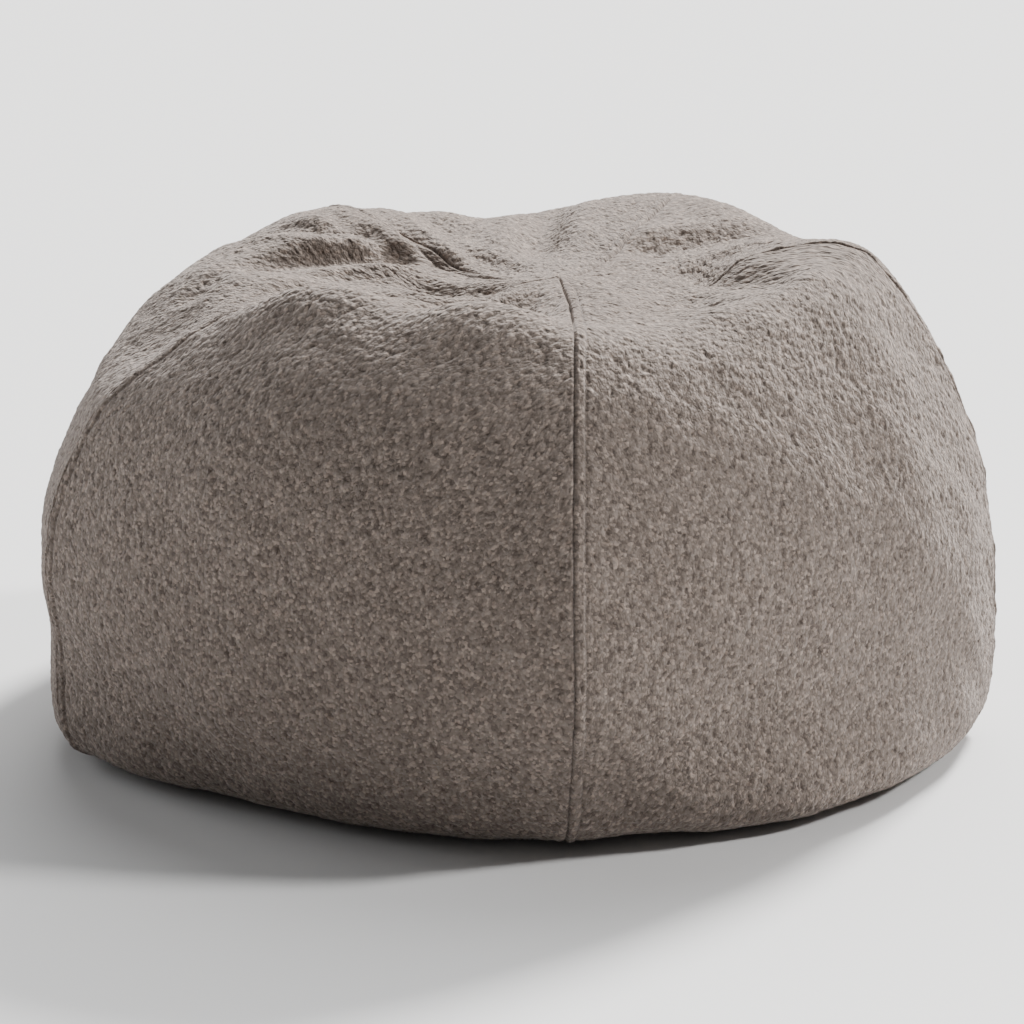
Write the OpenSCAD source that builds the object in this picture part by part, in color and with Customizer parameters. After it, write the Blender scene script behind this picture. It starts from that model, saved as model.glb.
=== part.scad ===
// Bean bag chair: a five-gore cover over a bead-filled liner, with a zip across its base.
// The floor is z = 0, +Z is up and -Y is the front. Millimetres.

/* [Bag] */
// Width of the filled bag, side to side
bag_w = 1040; // [890:1:1260]
// Depth of the filled bag, front to back
bag_d = 1040; // [890:1:1260]
// Height of the filled bag at its crest
bag_h = 550; // [440:1:670]

/* [Cover] */
// Thickness of the cover cloth
cover_t = 3; // [2:0.1:4]
// Distance from each gore seam to its topstitch
welt_w = 12; // [8:0.5:14]
// Diameter of the sewing thread
thread_d = 1; // [0.6:0.1:1.5]
// Width of the care label
label_w = 30; // [20:1:40]
// Length of the care label
label_l = 45; // [30:1:55]

/* [Liner and fill] */
// Thickness of the liner cloth
liner_t = 1; // [0.6:0.1:1.5]
// Gap between the cover and the liner
liner_gap = 0.3; // [0.3:0.1:1]
// Gap between the liner and the fill
fill_gap = 0.3; // [0.3:0.1:1]
// Room between the cover zip and the liner's tunnel over it
tunnel_gap = 2; // [1.5:0.1:4]

/* [Cover zip] */
// Length of the cover zip's chain
zip_l = 640; // [420:1:700]
// Width of the channel that the zip lies in
channel_w = 16; // [15:0.5:24]
// Height of the zip tape above the floor
channel_h = 9; // [8:0.1:12]
// Width of each row of the coil
coil_w = 2.2; // [1.6:0.1:3]
// Depth of the coil
coil_h = 1.6; // [1.2:0.1:2.2]
// Gap between the two rows of the coil, which the slider's post runs in
coil_gap = 1.6; // [1.4:0.1:2]
// Thickness of the zip tape
tape_t = 0.6; // [0.4:0.1:1]
// Length of the slider
slider_l = 14; // [10:0.5:18]
// Thickness of the slider's plates
plate_t = 1.2; // [0.8:0.1:1.5]
// Running clearance inside the slider
slide_gap = 0.2; // [0.15:0.05:0.4]
// Length of the pull tab
pull_l = 30; // [20:1:40]
// Width of the pull tab
pull_w = 7; // [6:0.5:10]
// Thickness of the pull tab and diameter of its bar
pull_t = 1.3; // [1:0.1:1.5]

/* [Liner zip] */
// Length of the liner zip's chain
liner_zip_l = 320; // [200:1:400]
// Distance of the liner zip behind the bag's middle
liner_zip_y = 170; // [80:1:240]
// Width of the liner zip's tapes, each
liner_tape_w = 10; // [8:0.5:14]

/* [Hidden] */
gores = 5;
first_seam = 6.5;     // azimuth of the front seam, from the front towards +X
gore_cols = 10;       // grid columns in one gore
rows = 14;            // grid rows from the base seam to the pole
cols = gores * gore_cols;
unit_w = bag_w / 100;
unit_d = bag_d / 100;
unit_h = bag_h / 100;
// Side profile, as [distance from the axis, height] in percent of the bag's width and height
profile = [[42.4, 0], [47.5, 4.3], [50.1, 17.7], [51.8, 34.1], [50.4, 55.8], [45.4, 73.8],
           [37.9, 86.7], [29.4, 92.5], [18.9, 91.5], [10.9, 91.2], [0, 93.7]];
flatness = 0.32;      // how far each gore is from round, towards a flat pentagon side
pole = [4.8, -10.8]; // where the gores meet, off the axis, in percent
centre = [0.88, -1.28]; // middle of the outline, in percent, which becomes the origin
// Bulges: [azimuth, half width, level, half height of level, outwards, upwards], angles in
// degrees, level 0 at the base seam and 1 at the pole, sizes in percent
bulges = [[-28, 52, 0.58, 0.2, 0.5, 2.9], [42, 46, 0.58, 0.26, -1.1, 1.3],
          [148, 44, 0.68, 0.28, 1.8, 6], [228, 46, 0.68, 0.26, -0.1, 5.7],
          [84, 36, 0.62, 0.22, 0, 4.8], [76, 22, 0.5, 0.1, -0.7, 0.8],
          [285, 30, 0.215, 0.08, 0.1, 1.9], [60, 44, 0.07, 0.24, 5.1, 0],
          [-72, 36, 0.11, 0.16, 2.6, 0], [6, 20, 0.04, 0.3, -1.5, 0],
          [268, 30, 0.62, 0.2, 2.2, -0.9], [102, 30, 0.66, 0.2, 1.3, 2.8],
          [-60, 30, 0.75, 0.15, 1.4, 0.6], [-20, 30, 0.85, 0.12, 0, -2.2],
          [20, 30, 0.85, 0.12, -1.7, 2.2], [120, 30, 0.85, 0.15, 1.2, -2],
          [180, 30, 0.85, 0.15, -0.1, 1.3], [240, 30, 0.85, 0.15, 2, -1.8],
          [300, 20, 0.85, 0.12, -1.4, -2.3], [-100, 30, 0.5, 0.2, -0.9, 2.9],
          [110, 30, 0.4, 0.2, 1.3, 0], [30, 30, 0.1, 0.15, 1.4, 0], [-30, 30, 0.1, 0.15, -1.1, 0],
          [-90, 30, 0.8, 0.15, -1.8, -1.8], [-75, 24, 0.6, 0.12, -1.6, -2.2],
          [-45, 24, 0.68, 0.1, -1.2, 4], [-12, 24, 0.7, 0.1, -0.8, 4],
          [100, 24, 0.75, 0.12, -2, -0.6], [60, 20, 0.75, 0.1, 1.3, 3.8],
          [30, 24, 0.7, 0.12, -0.7, -0.7], [88, 24, 0.35, 0.12, -0.3, -2.2],
          [80, 24, 0.15, 0.12, -0.3, 1], [-85, 24, 0.3, 0.12, 0, 0.7]];
// Folds in the top: [azimuth, half width, depth in percent, level from, level to]
folds = [[292, 20, 5.9, 0.58, 0.98], [80, 14, 1.5, 0.6, 0.98], [330, 18, 3.8, 0.7, 0.98],
         [56, 16, 3.3, 0.62, 0.92], [258, 14, 0.5, 0.6, 1]];
// The right seam leans back over the top: [azimuth, half width, degrees, level from, level to]
lean_back = [78.5, 60, 26, 0.5, 0.8];
seat_gap = 0.5;       // how far a thread or label stands off the cloth
thread_sides = 5;
thread_lift = thread_d / 2 + seat_gap;
stitch_level = 0.5;   // where the base stitch runs, as a share of the first grid row
label_col = 2 * gore_cols;          // seam that holds the care label, as a grid column
label_row = 2;
stop_l = 4;           // length of a zip stop
liner_coil_w = 1.6;
liner_coil_h = 1.2;
liner_coil_gap = 1.4;
liner_tape_t = 0.5;
liner_plate_t = 0.8;
liner_label = [60, 20, 0.5];
liner_zip_floor = 0.6; // room between the liner's slider and the cover's base
liner_out = cover_t + liner_gap;    // the liner's outer face, in from the cover's
liner_in = liner_out + liner_t;
fill_in = liner_in + fill_gap;
tape_top = channel_h + tape_t;
coil_low = channel_h - coil_h;
slider_w = coil_gap + 2 * (coil_w + slide_gap + plate_t);
slider_low = coil_low - slide_gap - plate_t;
slider_top = tape_top + slide_gap + plate_t;
bar_z = slider_low - slide_gap - pull_t / 2; // axis of the pull's bar
bridge_t = 1;
bridge_w = 2;
bridge_l = 6;
post_l = 3;
pull_arm = 1.2;
slider_x = (zip_l - slider_l) / 2 - 1;       // the slider's middle when the zip is shut
liner_slider_x = (liner_zip_l - slider_l) / 2 - 1;
channel_l = 2 * (slider_x + pull_l + pull_t + 2); // the pull stays inside it at both ends
tape_half = channel_w / 2 + cover_t;         // outer edge of the cover zip's tapes
tunnel_w = tape_half + tunnel_gap;           // half width inside the liner's tunnel
tunnel_l = channel_l / 2 + cover_t + tunnel_gap;
tunnel_h = slider_top + tunnel_gap;
liner_slider_w = liner_coil_gap + 2 * (liner_coil_w + slide_gap + liner_plate_t);
liner_slider_low = cover_t + liner_zip_floor;
liner_coil_low = liner_slider_low + liner_plate_t + slide_gap;
liner_tape_low = liner_coil_low + liner_coil_h;
liner_slider_top = liner_tape_low + liner_tape_t + slide_gap + liner_plate_t;
liner_slot = liner_slider_w / 2 + 1;         // half width of the slot for the liner's zip
liner_slot_l = liner_zip_l / 2 + stop_l;

// ---- the bag's skin as a formula ----
function smooth(v, a, b) = let (u = min(max((v - a) / (b - a), 0), 1)) u * u * (3 - 2 * u);
function hump(d) = abs(d) < 1 ? pow(1 - d * d, 2) : 0;
function turn(a) = a - 360 * round(a / 360);
function sum(list, i = 0) = i < len(list) ? list[i] + sum(list, i + 1) : 0;
function unit(v) = v / norm(v);
// A Catmull-Rom curve through the profile's points
function profile_at(t) =
    let (n = len(profile) - 1, i = min(floor(t * n), n - 1), f = t * n - i,
         b = profile[i], c = profile[i + 1],
         a = i > 0 ? profile[i - 1] : 2 * b - c,
         d = i < n - 1 ? profile[i + 2] : 2 * c - b)
    (2 * b + (c - a) * f + (2 * a - 5 * b + 4 * c - d) * f * f
     + (3 * b - a - 3 * c + d) * f * f * f) / 2;
// Five sides: full at a seam, flatter half way between two seams
function five_sided(phi, t) =
    let (side = 360 / gores, from_seam = phi - first_seam,
         off_mid = from_seam - side * floor(from_seam / side) - side / 2)
    1 - flatness * (1 - smooth(t, 0.55, 0.9)) * (1 - cos(side / 2) / cos(off_mid));
function outward(phi, t) =
    sum([for (b = bulges) b[4] * hump(turn(phi - b[0]) / b[1]) * hump((t - b[2]) / b[3])]);
function upward(phi, t) =
    sum([for (b = bulges) b[5] * hump(turn(phi - b[0]) / b[1]) * hump((t - b[2]) / b[3])])
    - sum([for (f = folds) let (m = (f[3] + f[4]) / 2, half = (f[4] - f[3]) / 2)
           f[2] * hump(turn(phi - f[0]) / f[1]) * smooth(1 - abs(t - m) / half, 0, 1)]);
// A point of the skin at azimuth phi and level t
function skin_point(phi, t) =
    let (p = profile_at(t), lean = smooth(t, 0.35, 1),
         rho = p[0] * five_sided(phi, t) + outward(phi, t))
    [unit_w * (rho * sin(phi) + pole[0] * lean - centre[0]),
     unit_d * (pole[1] * lean - rho * cos(phi) - centre[1]),
     unit_h * (p[1] + upward(phi, t))];
// The azimuth of a grid column at level t
function leaned(phi, t) =
    phi + lean_back[2] * hump(turn(phi - lean_back[0]) / lean_back[1]) * smooth(t, lean_back[3], lean_back[4]);
skin = [for (j = [0:rows]) [for (i = [0:cols - 1])
        skin_point(leaned(first_seam + i * 360 / cols, j / rows), j / rows)]];
function at(j, i) = skin[j][(i + cols) % cols];
// Outward direction: straight down at the base seam, straight up at the pole
function facing(j, i) =
    j == 0 ? [0, 0, -1] : j == rows ? [0, 0, 1]
    : unit(cross(at(j, i + 1) - at(j, i - 1), at(j + 1, i) - at(j - 1, i)));
function inset(j, i, d) = at(j, i) - d * facing(j, i);
base_outline = [for (p = skin[0]) [p[0], p[1]]];
// Outward directions of the two triangles of a grid cell, below and above its diagonal
function low_facet(j, i) = unit(cross(at(j, i + 1) - at(j, i), at(j + 1, i + 1) - at(j, i)));
function high_facet(j, i) = unit(cross(at(j + 1, i + 1) - at(j, i), at(j + 1, i) - at(j, i)));

// ---- shared shapes ----
// One gore: the cloth between two insets of the skin, from one seam to the next
module gore(index, out_d, in_d) {
    n = gore_cols + 1;
    layer = n * rows + 1;
    points = [for (d = [out_d, in_d]) each concat(
        [for (j = [0:rows - 1], i = [0:gore_cols]) inset(j, index * gore_cols + i, d)],
        [inset(rows, 0, d)])];
    function id(side, j, i) = side * layer + (j == rows ? n * rows : j * n + i);
    skins = [for (side = [0, 1], j = [0:rows - 1], i = [0:gore_cols - 1]) each
        let (a = id(side, j, i), b = id(side, j, i + 1),
             c = id(side, j + 1, i + 1), d = id(side, j + 1, i))
        side == 0 ? (j == rows - 1 ? [[a, d, b]] : [[a, d, c], [a, c, b]])
                  : (j == rows - 1 ? [[a, b, d]] : [[a, b, c], [a, c, d]])];
    edges = [for (j = [0:rows - 1], i = [0, gore_cols]) each
        let (a = id(0, j, i), b = id(0, j + 1, i), c = id(1, j + 1, i), d = id(1, j, i))
        i > 0 ? [[a, b, c], [a, c, d]] : [[a, c, b], [a, d, c]]];
    foot = [for (i = [0:gore_cols - 1]) each
        let (a = id(0, 0, i), b = id(0, 0, i + 1), c = id(1, 0, i + 1), d = id(1, 0, i))
        [[a, b, c], [a, c, d]]];
    polyhedron(points, concat(skins, edges, foot), convexity = 8);
}
// A closed lump: the skin inset by d, with a flat bottom
module filled(d) {
    points = concat([for (j = [0:rows - 1], i = [0:cols - 1]) inset(j, i, d)], [inset(rows, 0, d)]);
    top = cols * rows;
    sides = [for (j = [0:rows - 1], i = [0:cols - 1]) each
        let (k = (i + 1) % cols, a = j * cols + i, b = j * cols + k, c = a + cols, e = b + cols)
        j == rows - 1 ? [[a, top, b]] : [[a, c, e], [a, e, b]]];
    polyhedron(points, concat(sides, [[for (i = [0:cols - 1]) i]]), convexity = 8);
}
// A thread along a path, given each point's outward direction
module thread(path, up, closed = false) {
    n = len(path);
    r = thread_d / 2;
    rings = [for (k = [0:n - 1])
        let (a = closed ? path[(k + n - 1) % n] : path[max(k - 1, 0)],
             b = closed ? path[(k + 1) % n] : path[min(k + 1, n - 1)],
             along = unit(b - a), across = unit(cross(along, up[k])), out = cross(across, along))
        each [for (s = [0:thread_sides - 1]) let (angle = s * 360 / thread_sides)
              path[k] + r * (cos(angle) * out + sin(angle) * across)]];
    last = closed ? n - 1 : n - 2;
    walls = [for (k = [0:last], s = [0:thread_sides - 1]) each
        let (q = (s + 1) % thread_sides, m = (k + 1) % n, a = k * thread_sides + s,
             b = k * thread_sides + q, c = m * thread_sides + q, d = m * thread_sides + s)
        [[a, b, c], [a, c, d]]];
    ends = closed ? [] : [[for (s = [thread_sides - 1:-1:0]) s],
                          [for (s = [0:thread_sides - 1]) (n - 1) * thread_sides + s]];
    polyhedron(rings, concat(walls, ends), convexity = 4);
}
// A box from low to high corner
module block(low, high) translate(low) cube(high - low);
// One row of a zip's coil; side is -1 in front and 1 behind
module coil(length, y, side, gap, w, low, high)
    block([-length / 2, y + min(side * gap / 2, side * (gap / 2 + w)), low],
          [length / 2, y + max(side * gap / 2, side * (gap / 2 + w)), high]);
module tape(length, y, side, gap, edge, low, t)
    block([-length / 2, y + min(side * gap / 2, side * edge), low],
          [length / 2, y + max(side * gap / 2, side * edge), low + t]);
// A slider's body: two plates, a post between the coil rows, and flanges round the coil
module slider_body(x, y, w, t, gap, low, top, flange_top) {
    half = slider_l / 2;
    for (z = [low, top - t]) translate([x, y, z]) linear_extrude(t) {
        translate([w / 2 - half, -w / 2]) square([slider_l - w, w]);
        for (end = [-1, 1]) translate([end * (half - w / 2), 0]) circle(d = w, $fn = 48);
    }
    post = gap / 2 - slide_gap;
    block([x + half - w / 2 - post_l, y - post, low + t / 2],
          [x + half - w / 2, y + post, top - t / 2]);
    for (side = [-1, 1]) block(
        [x - half + w / 2, y + (side > 0 ? w / 2 - t : -w / 2), low + t / 2],
        [x + half - w / 2, y + (side > 0 ? w / 2 : t - w / 2), flange_top]);
}
module cover_half(side) difference() {
    union() {
        linear_extrude(cover_t) intersection() {
            polygon(base_outline);
            translate([-bag_w, side > 0 ? 0 : -bag_d]) square([2 * bag_w, bag_d]);
        }
        // The edge is turned up along the channel and closed at its two ends
        block([-channel_l / 2 - cover_t, side > 0 ? 0 : -tape_half, 0],
              [channel_l / 2 + cover_t, side > 0 ? tape_half : 0, channel_h]);
    }
    block([-channel_l / 2, -channel_w / 2, -1], [channel_l / 2, channel_w / 2, channel_h + 1]);
}

// ---- cover ----
module cover_gore_front_right() color("#877d77") gore(0, 0, cover_t);
module cover_gore_back_right() color("#877d77") gore(1, 0, cover_t);
module cover_gore_back() color("#877d77") gore(2, 0, cover_t);
module cover_gore_back_left() color("#877d77") gore(3, 0, cover_t);
module cover_gore_front_left() color("#7b716b") gore(4, 0, cover_t);
module cover_base_front() color("#6b625d") cover_half(-1);
module cover_base_back() color("#6b625d") cover_half(1);
// How far across its first grid cell a gore's topstitch runs
function welt_share(j, i) = welt_w / norm(at(j, i + 1) - at(j, i));
// The topstitch runs beside each seam, on the side that the allowance is pressed to. Its path
// has a point on each grid row and one where it crosses the cell's diagonal.
module gore_topstitch() color("#6a615b") for (g = [0:gores - 1]) {
    i = g * gore_cols;
    spots = [for (j = [1:rows - 2]) each
        let (p = welt_share(j, i), q = welt_share(j + 1, i), s = p / (1 - q + p),
             below = high_facet(j - 1, i) + low_facet(j, i), mid = high_facet(j, i) + low_facet(j, i))
        concat([[at(j, i) + p * (at(j, i + 1) - at(j, i)), unit(below)]],
               j < rows - 2 ? [[at(j, i) + s * (at(j + 1, i + 1) - at(j, i)), unit(mid)]] : [])];
    thread([for (s = spots) s[0] + thread_lift * s[1]], [for (s = spots) s[1]]);
}
module base_seam_stitch() color("#6a615b") {
    f = stitch_level;
    spots = [for (i = [0:cols - 1]) each
        let (side = high_facet(0, i) + low_facet(0, i - 1), mid = high_facet(0, i) + low_facet(0, i))
        [[at(0, i) + f * (at(1, i) - at(0, i)), unit(side)],
         [at(0, i) + f * (at(1, i + 1) - at(0, i)), unit(mid)]]];
    thread([for (s = spots) s[0] + thread_lift * s[1]], [for (s = spots) s[1]], closed = true);
}
// The care label is caught in a back seam and lies flat beside it
module care_label() {
    a = at(label_row, label_col);
    along = at(label_row + 1, label_col) - a;
    beside = at(label_row, label_col - 1) - a;
    warp = at(label_row + 1, label_col - 1) - a - along - beside;
    out = unit(cross(along, beside));
    function spot(u, v, lift) = let (p = u / norm(beside), q = v / norm(along))
        a + beside * p + along * q + warp * min(p, q) + lift * out;
    margin = (norm(along) - label_l) / 2;
    edge = 1;
    corners = [for (lift = [seat_gap, seat_gap + tape_t])
        each [spot(edge, margin, lift), spot(label_w, margin, lift),
              spot(label_w, margin + label_l, lift), spot(edge, margin + label_l, lift)]];
    color("#d9d4cc") polyhedron(corners, [[0, 1, 2], [0, 2, 3], [4, 6, 5], [4, 7, 6], [0, 5, 1], [0, 4, 5],
        [1, 6, 2], [1, 5, 6], [2, 7, 3], [2, 6, 7], [3, 4, 0], [3, 7, 4]]);
}

// ---- cover zip ----
module zip_tape_front() color("#4b4541")
    tape(channel_l + 2 * cover_t, 0, -1, coil_gap, tape_half, channel_h, tape_t);
module zip_tape_back() color("#4b4541")
    tape(channel_l + 2 * cover_t, 0, 1, coil_gap, tape_half, channel_h, tape_t);
module zip_coil_front() color("#3c3733") coil(zip_l, 0, -1, coil_gap, coil_w, coil_low, channel_h);
module zip_coil_back() color("#3c3733") coil(zip_l, 0, 1, coil_gap, coil_w, coil_low, channel_h);
module zip_top_stops() color("silver") for (side = [-1, 1])
    translate([(zip_l + stop_l) / 2, 0, 0]) coil(stop_l, 0, side, coil_gap, coil_w, coil_low, channel_h);
module zip_bottom_stop() color("silver")
    block([-zip_l / 2 - stop_l, -coil_gap / 2 - coil_w, coil_low],
          [-zip_l / 2, coil_gap / 2 + coil_w, channel_h]);
// The slider, with the bridge that holds the pull under its lower plate
module zip_slider() color("silver") {
    slider_body(slider_x, 0, slider_w, plate_t, coil_gap, slider_low, slider_top,
                channel_h - slide_gap);
    bridge_low = bar_z - pull_t / 2 - slide_gap - bridge_t;
    difference() {
        block([slider_x - bridge_l / 2, -bridge_w / 2, bridge_low],
              [slider_x + bridge_l / 2, bridge_w / 2, slider_low + plate_t / 2]);
        block([slider_x + bridge_t - bridge_l / 2, -bridge_w, bridge_low + bridge_t],
              [slider_x - bridge_t + bridge_l / 2, bridge_w, slider_low]);
    }
}
// The pull: a round bar under the bridge, two arms beside it, and the tab
module zip_pull() color("silver") {
    inner = bridge_w / 2 + slide_gap;
    reach = bridge_l / 2 + pull_t;
    translate([slider_x, 0, bar_z]) {
        rotate([90, 0, 0]) cylinder(d = pull_t, h = 2 * (inner + pull_arm), center = true, $fn = 32);
        for (side = [-1, 1]) block([-reach - 1, side > 0 ? inner : -inner - pull_arm, -pull_t / 2],
                                   [0, side > 0 ? inner + pull_arm : -inner, pull_t / 2]);
        translate([0, 0, -pull_t / 2]) linear_extrude(pull_t) difference() {
            union() {
                translate([pull_w / 2 - pull_l, -pull_w / 2]) square([pull_l - reach - pull_w / 2, pull_w]);
                translate([pull_w / 2 - pull_l, 0]) circle(d = pull_w, $fn = 48);
            }
            translate([pull_w / 2 - pull_l, 0]) circle(d = pull_w / 2, $fn = 32);
        }
    }
}

// ---- liner and fill ----
module liner_gore_front_right() color("white") gore(0, liner_out, liner_in);
module liner_gore_back_right() color("white") gore(1, liner_out, liner_in);
module liner_gore_back() color("white") gore(2, liner_out, liner_in);
module liner_gore_back_left() color("white") gore(3, liner_out, liner_in);
module liner_gore_front_left() color("white") gore(4, liner_out, liner_in);
// The liner's base rises over the cover zip as a tunnel, and is turned up round the slot of
// its own zip
module liner_base() color("white") difference() {
    union() {
        translate([0, 0, liner_out]) linear_extrude(liner_t) polygon(base_outline);
        block([-tunnel_l - liner_t, -tunnel_w - liner_t, liner_out],
              [tunnel_l + liner_t, tunnel_w + liner_t, tunnel_h + liner_t]);
        block([-liner_slot_l - liner_t, liner_zip_y - liner_slot - liner_t, liner_out],
              [liner_slot_l + liner_t, liner_zip_y + liner_slot + liner_t, liner_tape_low]);
    }
    block([-tunnel_l, -tunnel_w, liner_out - 1], [tunnel_l, tunnel_w, tunnel_h]);
    block([-liner_slot_l, liner_zip_y - liner_slot, liner_out - 1],
          [liner_slot_l, liner_zip_y + liner_slot, liner_tape_low + 1]);
}
// The warning label is inside the tunnel, where an open cover zip shows it
module liner_label() color("#e8e6e0")
    translate([0, 0, tunnel_h - liner_label[2] / 2]) cube(liner_label, center = true);
module liner_tape(side) color("white")
    tape(2 * (liner_slot_l + liner_t), liner_zip_y, side, liner_coil_gap, liner_tape_w,
         liner_tape_low, liner_tape_t);
module liner_coil(side, length) coil(length, liner_zip_y, side, liner_coil_gap, liner_coil_w,
                                     liner_coil_low, liner_tape_low);
module liner_zip_tape_front() liner_tape(-1);
module liner_zip_tape_back() liner_tape(1);
module liner_zip_coil_front() color("#e4e2de") liner_coil(-1, liner_zip_l);
module liner_zip_coil_back() color("#e4e2de") liner_coil(1, liner_zip_l);
module liner_zip_stops() color("silver") for (end = [-1, 1], side = [-1, 1])
    translate([end * (liner_zip_l + stop_l / 2) / 2, 0, 0]) liner_coil(side, stop_l / 2);
// This slider has no pull, so a child can't open the bag of beads
module liner_zip_slider() color("silver")
    slider_body(liner_slider_x, liner_zip_y, liner_slider_w, liner_plate_t, liner_coil_gap,
                liner_slider_low, liner_slider_top, liner_tape_low - slide_gap);
// The beads, as the one lump that they pack into, clear of both zips
module bead_fill() color("#f4f4f2") {
    wall = liner_t + fill_gap;
    tape_edge = max(liner_tape_w, liner_slot + liner_t) + fill_gap;
    difference() {
        filled(fill_in);
        block([-tunnel_l - wall, -tunnel_w - wall, 0], [tunnel_l + wall, tunnel_w + wall, tunnel_h + wall]);
        block([-liner_slot_l - wall, liner_zip_y - tape_edge, 0],
              [liner_slot_l + wall, liner_zip_y + tape_edge, liner_slider_top + fill_gap]);
    }
}

cover_gore_front_right();
cover_gore_back_right();
cover_gore_back();
cover_gore_back_left();
cover_gore_front_left();
cover_base_front();
cover_base_back();
gore_topstitch();
base_seam_stitch();
care_label();
zip_tape_front();
zip_tape_back();
zip_coil_front();
zip_coil_back();
zip_top_stops();
zip_bottom_stop();
zip_slider();
zip_pull();
liner_gore_front_right();
liner_gore_back_right();
liner_gore_back();
liner_gore_back_left();
liner_gore_front_left();
liner_base();
liner_label();
liner_zip_tape_front();
liner_zip_tape_back();
liner_zip_coil_front();
liner_zip_coil_back();
liner_zip_stops();
liner_zip_slider();
bead_fill();
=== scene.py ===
import math

import bmesh
import bpy
import numpy as np
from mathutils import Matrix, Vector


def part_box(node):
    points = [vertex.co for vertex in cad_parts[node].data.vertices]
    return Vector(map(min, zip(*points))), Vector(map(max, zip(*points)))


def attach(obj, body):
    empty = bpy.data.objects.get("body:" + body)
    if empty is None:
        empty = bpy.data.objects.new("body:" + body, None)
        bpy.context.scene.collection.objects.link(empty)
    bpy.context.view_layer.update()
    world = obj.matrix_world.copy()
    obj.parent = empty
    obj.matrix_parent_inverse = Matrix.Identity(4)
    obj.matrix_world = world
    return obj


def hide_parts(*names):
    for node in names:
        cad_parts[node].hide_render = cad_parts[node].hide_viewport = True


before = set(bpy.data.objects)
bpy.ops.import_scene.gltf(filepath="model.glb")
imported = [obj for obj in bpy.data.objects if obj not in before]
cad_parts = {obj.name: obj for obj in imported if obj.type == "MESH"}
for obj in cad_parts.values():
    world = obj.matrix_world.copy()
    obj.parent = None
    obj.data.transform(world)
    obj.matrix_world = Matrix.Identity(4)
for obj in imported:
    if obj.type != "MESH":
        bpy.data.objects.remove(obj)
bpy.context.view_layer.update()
print("frame loaded:", len(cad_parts), "nodes")

# The bag as a formula, as the frame was drawn: levels go from 0 at the base seam to 1 at the pole,
# azimuths are degrees from the front (-Y) towards +X, and sizes are percent of the bag's width or height.
bagShape = {
    "size": (1.04, 1.04, 0.55),
    "gores": 5,
    "firstSeam": 6.5,
    "profile": [(42.4, 0), (47.5, 4.3), (50.1, 17.7), (51.8, 34.1), (50.4, 55.8), (45.4, 73.8),
                (37.9, 86.7), (29.4, 92.5), (18.9, 91.5), (10.9, 91.2), (0, 93.7)],  # radius, height
    "flatness": 0.32,  # of each gore, towards a flat side
    "pole": (4.8, -10.8),  # where the gores meet
    "centre": (0.88, -1.28),
    "leanBack": (78.5, 60, 26, 0.5, 0.8),  # of the right seam: azimuth, half width, degrees, levels
    # azimuth, half width, level, half height of level, outwards, upwards
    "bulges": [(-28, 52, 0.58, 0.2, 0.5, 2.9), (42, 46, 0.58, 0.26, -1.1, 1.3),
               (148, 44, 0.68, 0.28, 1.8, 6), (228, 46, 0.68, 0.26, -0.1, 5.7),
               (84, 36, 0.62, 0.22, 0, 4.8), (76, 22, 0.5, 0.1, -0.7, 0.8),
               (285, 30, 0.215, 0.08, 0.1, 1.9), (60, 44, 0.07, 0.24, 5.1, 0),
               (-72, 36, 0.11, 0.16, 2.6, 0), (6, 20, 0.04, 0.3, -1.5, 0), (268, 30, 0.62, 0.2, 2.2, -0.9),
               (102, 30, 0.66, 0.2, 1.3, 2.8), (-60, 30, 0.75, 0.15, 1.4, 0.6),
               (-20, 30, 0.85, 0.12, 0, -2.2), (20, 30, 0.85, 0.12, -1.7, 2.2),
               (120, 30, 0.85, 0.15, 1.2, -2), (180, 30, 0.85, 0.15, -0.1, 1.3),
               (240, 30, 0.85, 0.15, 2, -1.8), (300, 20, 0.85, 0.12, -1.4, -2.3),
               (-100, 30, 0.5, 0.2, -0.9, 2.9), (110, 30, 0.4, 0.2, 1.3, 0), (30, 30, 0.1, 0.15, 1.4, 0),
               (-30, 30, 0.1, 0.15, -1.1, 0), (-90, 30, 0.8, 0.15, -1.8, -1.8),
               (-75, 24, 0.6, 0.12, -1.6, -2.2), (-45, 24, 0.68, 0.1, -1.2, 4),
               (-12, 24, 0.7, 0.1, -0.8, 4), (100, 24, 0.75, 0.12, -2, -0.6), (60, 20, 0.75, 0.1, 1.3, 3.8),
               (30, 24, 0.7, 0.12, -0.7, -0.7), (88, 24, 0.35, 0.12, -0.3, -2.2),
               (80, 24, 0.15, 0.12, -0.3, 1), (-85, 24, 0.3, 0.12, 0, 0.7)],
    # azimuth, half width, depth, level from, level to
    "folds": [(292, 20, 5.9, 0.58, 0.98), (80, 14, 1.5, 0.6, 0.98), (330, 18, 3.8, 0.7, 0.98),
              (56, 16, 3.3, 0.62, 0.92), (258, 14, 0.5, 0.6, 1)],
    "pleats": [(276, 9, 0.5, 0.66, 0.98), (340, 9, 1.8, 0.7, 0.98), (20, 10, 0.5, 0.7, 0.98),
               (68, 9, 2.1, 0.6, 0.95), (92, 10, 1, 0.6, 0.98), (216, 9, 1, 0.6, 1)],
}
unitW, unitD, unitH = [v / 100 for v in bagShape["size"]]


def unitVectors(v):
    return v / np.maximum(np.linalg.norm(v, axis=-1, keepdims=True), 1e-12)


def smooth(v, a, b):
    u = np.clip((v - a) / (b - a), 0, 1)
    return u * u * (3 - 2 * u)


def hump(d):
    return np.clip(1 - d * d, 0, 1) ** 2


def turnedBy(a):
    return a - 360 * np.round(a / 360)


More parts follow.
